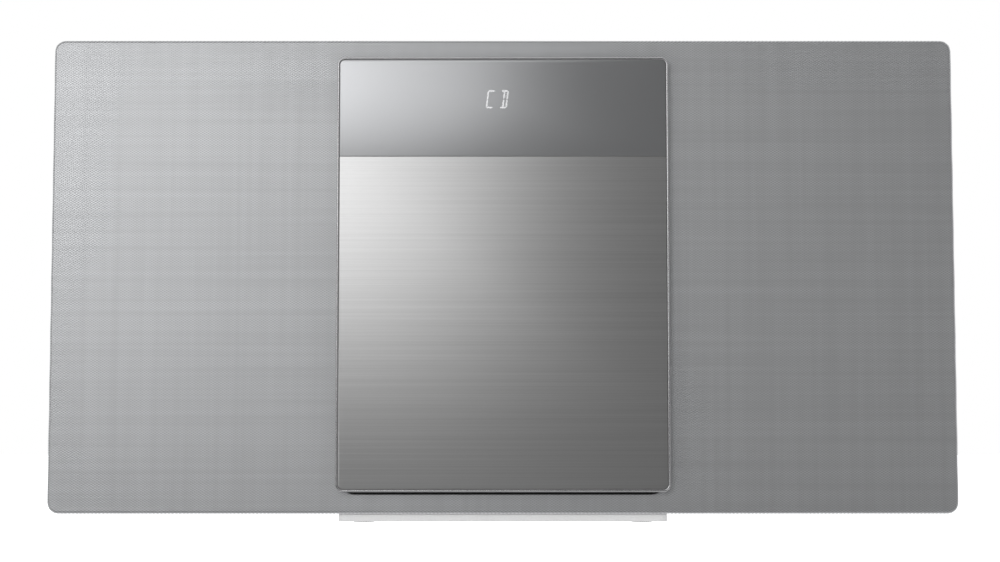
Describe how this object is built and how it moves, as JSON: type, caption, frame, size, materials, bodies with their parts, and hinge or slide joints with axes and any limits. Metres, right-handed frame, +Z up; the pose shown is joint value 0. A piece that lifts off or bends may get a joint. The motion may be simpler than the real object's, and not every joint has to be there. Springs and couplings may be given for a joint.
{
  "type": "mini hifi system",
  "caption": "Slim wide compact stereo on a low foot plate: cloth grille with speakers behind it, smoked display and a brushed door that slides sideways off the disc well.",
  "frame": {"origin": "middle of the bounding box, on the surface that the stereo stands on", "axes": "+Z up; the front faces -Y; +X to the right of a person facing the front"},
  "size_m": [0.415, 0.093, 0.222],
  "materials": {
    "cabinet_plastic": "satin silver-grey moulded plastic",
    "black_plastic": "fine-grained black plastic",
    "dark_plastic": "dark grey glass-filled plastic",
    "grille_cloth": "fine silver-grey woven speaker cloth",
    "stand_plastic": "pale grey satin plastic",
    "rubber": "matt black rubber",
    "screw_steel": "black zinc-plated steel",
    "polished_steel": "ground and polished steel",
    "motor_steel": "nickel-plated steel",
    "pressed_steel": "black-coated pressed steel",
    "circuit_board": "green solder-masked board with black parts",
    "aluminium": "extruded, lightly anodised",
    "clear_plastic": "smoked clear filter",
    "bright_rim": "bright satin rim",
    "white_acetal": "natural acetal",
    "brushed_panel": "horizontally brushed aluminium, clear anodised",
    "smoked_mirror": "smoked half-mirror acrylic",
    "brass": "hobbed brass",
    "lens_glass": "coated moulded lens",
    "cone_paper": "coated paper",
    "magnet": "ferrite between plated plates",
    "button_plastic": "satin silver plastic"
  },
  "bodies": {
    "cabinet": {"rear_cabinet": "cabinet_plastic", "front_baffle": "black_plastic", "grille_frame": "dark_plastic", "grille_cloth": "grille_cloth", "inner_fascia": "black_plastic", "stand": "stand_plastic", "stand_feet": "rubber", "cabinet_screws": "screw_steel", "guide_rods": "polished_steel", "drive_motor": "motor_steel", "drive_bracket": "pressed_steel", "cd_chassis": "dark_plastic", "damper_bushes": "rubber", "spindle_motor": "motor_steel", "sled_rods": "polished_steel", "sled_motor": "motor_steel", "main_board": "circuit_board", "power_board": "circuit_board", "heat_sink": "aluminium", "display_board": "circuit_board", "display_lens": "clear_plastic", "remote_sensor": "black_plastic", "mains_inlet": "black_plastic", "antenna_terminal": "motor_steel", "aux_jack": "black_plastic", "usb_port": "motor_steel", "headphone_jack": "black_plastic", "button_board": "circuit_board", "driver_baskets": "pressed_steel", "driver_magnets": "magnet", "passive_frames": "black_plastic"},
    "door": {"door_rim": "bright_rim", "door_back": "black_plastic", "door_panel": "brushed_panel", "door_window": "smoked_mirror", "door_rack": "white_acetal", "upper_carriage": "white_acetal"},
    "drive_gear_body": {"drive_gear": "white_acetal"},
    "motor_pinion_body": {"motor_pinion": "brass"},
    "turntable": {"turntable_hub": "dark_plastic"},
    "pickup": {"optical_pickup": "dark_plastic"},
    "lens": {"objective_lens": "lens_glass"},
    "lead_screw": {"sled_lead_screw": "polished_steel"},
    "driver_cone_left": {"driver_cone_left": "cone_paper", "driver_surround_left": "rubber"},
    "passive_cone_left": {"passive_cone_left": "cone_paper", "passive_surround_left": "rubber"},
    "driver_cone_right": {"driver_cone_right": "cone_paper", "driver_surround_right": "rubber"},
    "passive_cone_right": {"passive_cone_right": "cone_paper", "passive_surround_right": "rubber"},
    "power_button": {"power_button": "button_plastic"},
    "source_button": {"source_button": "button_plastic"},
    "open_close_button": {"open_close_button": "button_plastic"},
    "previous_button": {"previous_button": "button_plastic"},
    "play_pause_button": {"play_pause_button": "button_plastic"},
    "next_button": {"next_button": "button_plastic"},
    "volume_down_button": {"volume_down_button": "button_plastic"},
    "volume_up_button": {"volume_up_button": "button_plastic"}
  },
  "joints": [
    {"name": "door_slide", "type": "slide", "parent": "cabinet", "child": "door", "axis": [1, 0, 0], "range_m": [0, 0.129]},
    {"name": "drive_gear_spin", "type": "hinge", "parent": "cabinet", "child": "drive_gear_body", "pos_m": [0.063, -0.03, 0.0295], "axis": [0, -1, 0], "range_deg": [0, 1233]},
    {"name": "motor_pinion_spin", "type": "hinge", "parent": "cabinet", "child": "motor_pinion_body", "pos_m": [0.063, -0.027, 0.0455], "axis": [0, -1, 0], "range_deg": [-3700, 0]},
    {"name": "turntable_spin", "type": "hinge", "parent": "cabinet", "child": "turntable", "pos_m": [-0.012, -0.03, 0.095], "axis": [0, -1, 0], "continuous": true},
    {"name": "pickup_slide", "type": "slide", "parent": "cabinet", "child": "pickup", "axis": [1, 0, 0], "range_m": [0, 0.034]},
    {"name": "lead_screw_spin", "type": "hinge", "parent": "cabinet", "child": "lead_screw", "pos_m": [0.03, -0.0194, 0.1176], "axis": [1, 0, 0], "range_deg": [0, 4081]},
    {"name": "lens_focus", "type": "slide", "parent": "pickup", "child": "lens", "axis": [0, -1, 0], "range_m": [-0.0005, 0.0005], "stiffness_N_per_m": 8},
    {"name": "driver_left_excursion", "type": "slide", "parent": "cabinet", "child": "driver_cone_left", "axis": [0, -1, 0], "range_m": [-0.0015, 0.0015], "stiffness_N_per_m": 1200, "deforming": ["driver_surround_left"]},
    {"name": "passive_left_excursion", "type": "slide", "parent": "cabinet", "child": "passive_cone_left", "axis": [0, -1, 0], "range_m": [-0.0018, 0.0018], "stiffness_N_per_m": 600, "deforming": ["passive_surround_left"]},
    {"name": "driver_right_excursion", "type": "slide", "parent": "cabinet", "child": "driver_cone_right", "axis": [0, -1, 0], "range_m": [-0.0015, 0.0015], "stiffness_N_per_m": 1200, "deforming": ["driver_surround_right"]},
    {"name": "passive_right_excursion", "type": "slide", "parent": "cabinet", "child": "passive_cone_right", "axis": [0, -1, 0], "range_m": [-0.0018, 0.0018], "stiffness_N_per_m": 600, "deforming": ["passive_surround_right"]},
    {"name": "power_press", "type": "slide", "parent": "cabinet", "child": "power_button", "axis": [0, 0, -1], "range_m": [0, 0.0005], "stiffness_N_per_m": 2000, "springref_m": -0.0002},
    {"name": "source_press", "type": "slide", "parent": "cabinet", "child": "source_button", "axis": [0, 0, -1], "range_m": [0, 0.0005], "stiffness_N_per_m": 2000, "springref_m": -0.0002},
    {"name": "open_close_press", "type": "slide", "parent": "cabinet", "child": "open_close_button", "axis": [0, 0, -1], "range_m": [0, 0.0005], "stiffness_N_per_m": 2000, "springref_m": -0.0002},
    {"name": "previous_press", "type": "slide", "parent": "cabinet", "child": "previous_button", "axis": [0, 0, -1], "range_m": [0, 0.0005], "stiffness_N_per_m": 2000, "springref_m": -0.0002},
    {"name": "play_pause_press", "type": "slide", "parent": "cabinet", "child": "play_pause_button", "axis": [0, 0, -1], "range_m": [0, 0.0005], "stiffness_N_per_m": 2000, "springref_m": -0.0002},
    {"name": "next_press", "type": "slide", "parent": "cabinet", "child": "next_button", "axis": [0, 0, -1], "range_m": [0, 0.0005], "stiffness_N_per_m": 2000, "springref_m": -0.0002},
    {"name": "volume_down_press", "type": "slide", "parent": "cabinet", "child": "volume_down_button", "axis": [0, 0, -1], "range_m": [0, 0.0005], "stiffness_N_per_m": 2000, "springref_m": -0.0002},
    {"name": "volume_up_press", "type": "slide", "parent": "cabinet", "child": "volume_up_button", "axis": [0, 0, -1], "range_m": [0, 0.0005], "stiffness_N_per_m": 2000, "springref_m": -0.0002}
  ],
  "couplings": [
    {"joint": "drive_gear_spin", "follows": "door_slide", "rad_per_m": 166.67},
    {"joint": "motor_pinion_spin", "follows": "door_slide", "rad_per_m": -500},
    {"joint": "lead_screw_spin", "follows": "pickup_slide", "rad_per_m": 2094.4}
  ]
}
